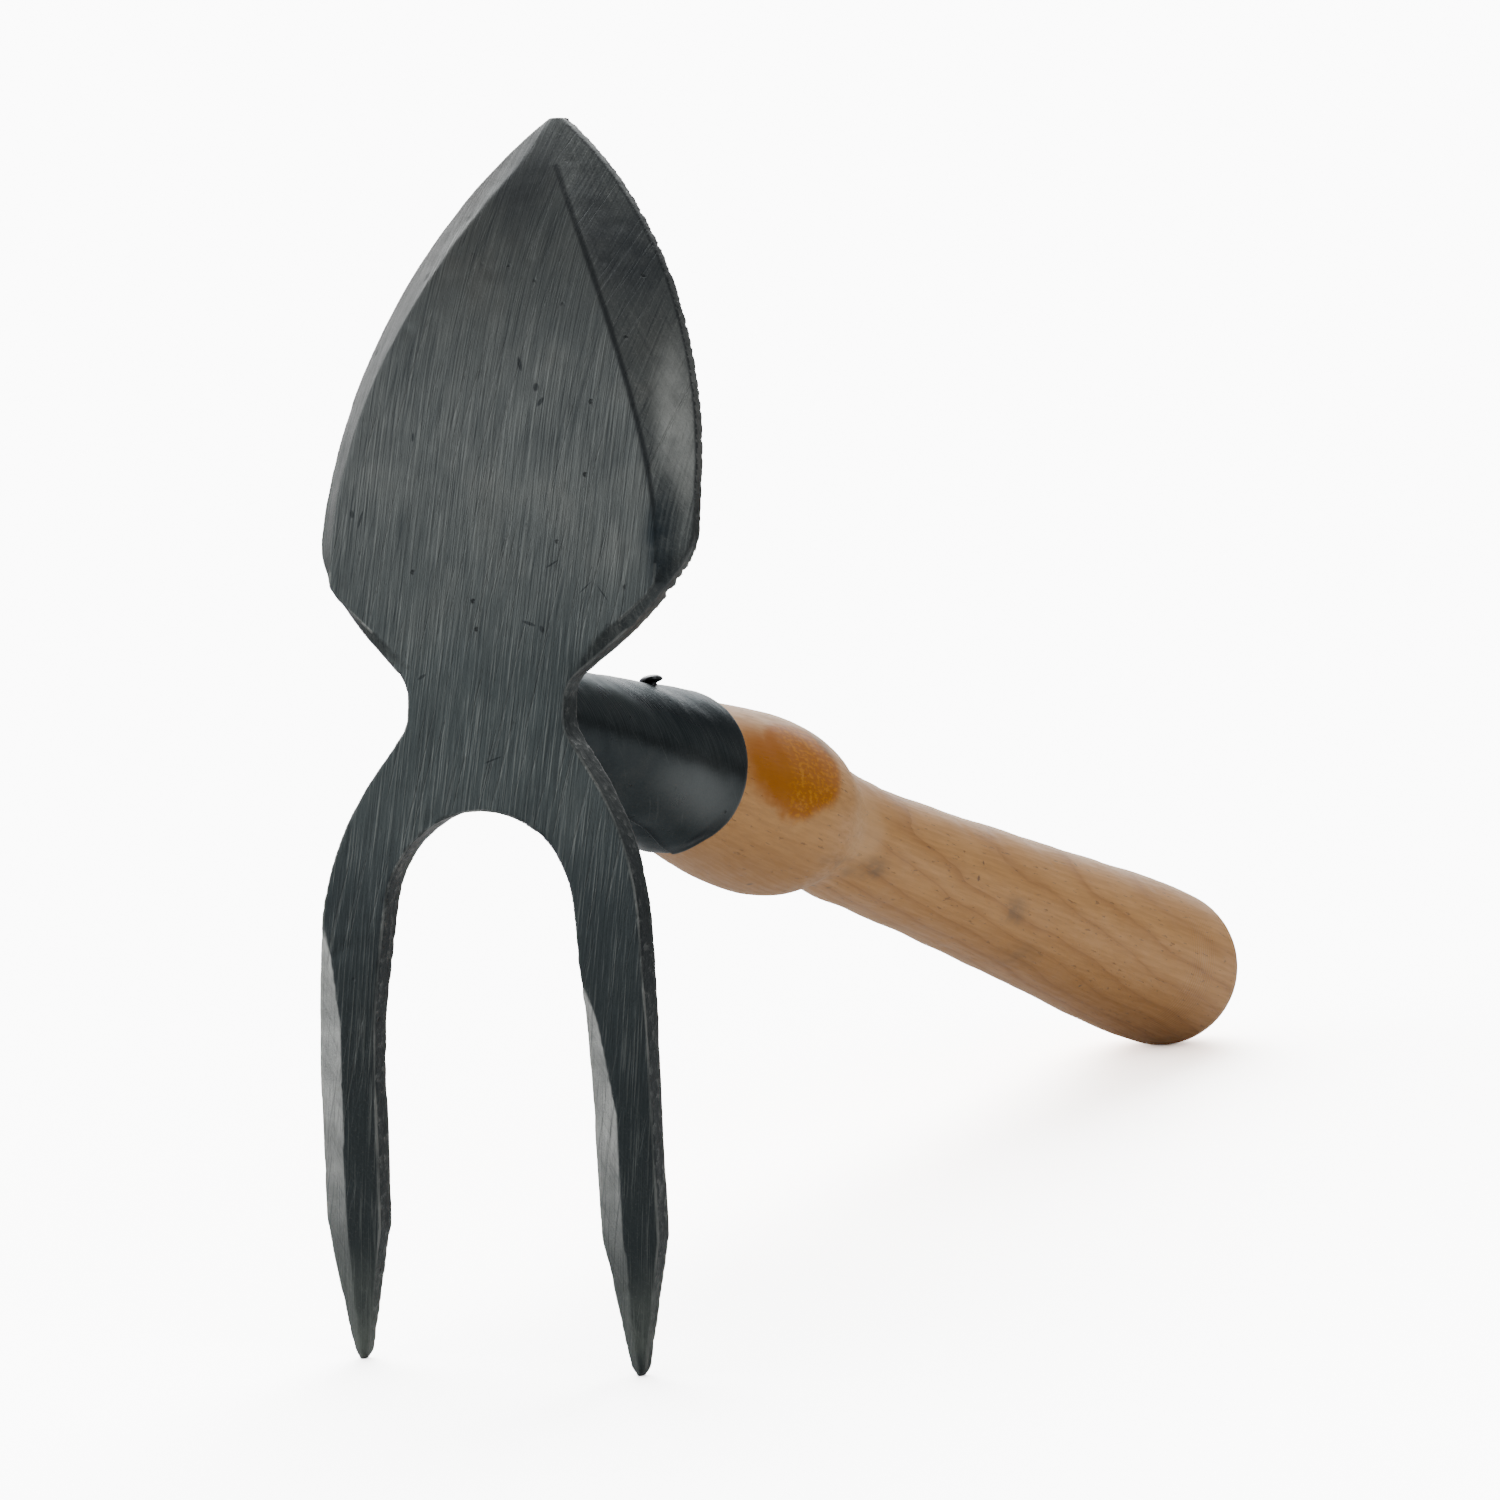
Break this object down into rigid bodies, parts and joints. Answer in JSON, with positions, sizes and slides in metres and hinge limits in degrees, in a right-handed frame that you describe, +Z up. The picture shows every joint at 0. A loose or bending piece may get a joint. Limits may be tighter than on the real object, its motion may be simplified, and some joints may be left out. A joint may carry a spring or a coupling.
{
  "type": "hand cultivator",
  "caption": "Hand hoe and fork: a forged steel head with a heart-shaped blade above and a tined fork below, on a turned wooden handle in a nailed steel socket.",
  "frame": {"origin": "on the ground under the middle of the tool's overall box", "axes": "+Z up, +Y along the tool from the head to the butt of the handle, +X across the head"},
  "size_m": [0.0724, 0.3532, 0.2144],
  "materials": {
    "forged_steel": "blackened forged steel, finely scratched, satin",
    "socket_steel": "blackened rolled sheet, semi-gloss",
    "nail_steel": "glossy black",
    "handle_wood": "oiled ash, satin, worn"
  },
  "bodies": {
    "root": {"head": "forged_steel", "socket": "socket_steel", "weld_bead": "socket_steel", "handle": "handle_wood", "nail": "nail_steel"}
  },
  "joints": []
}
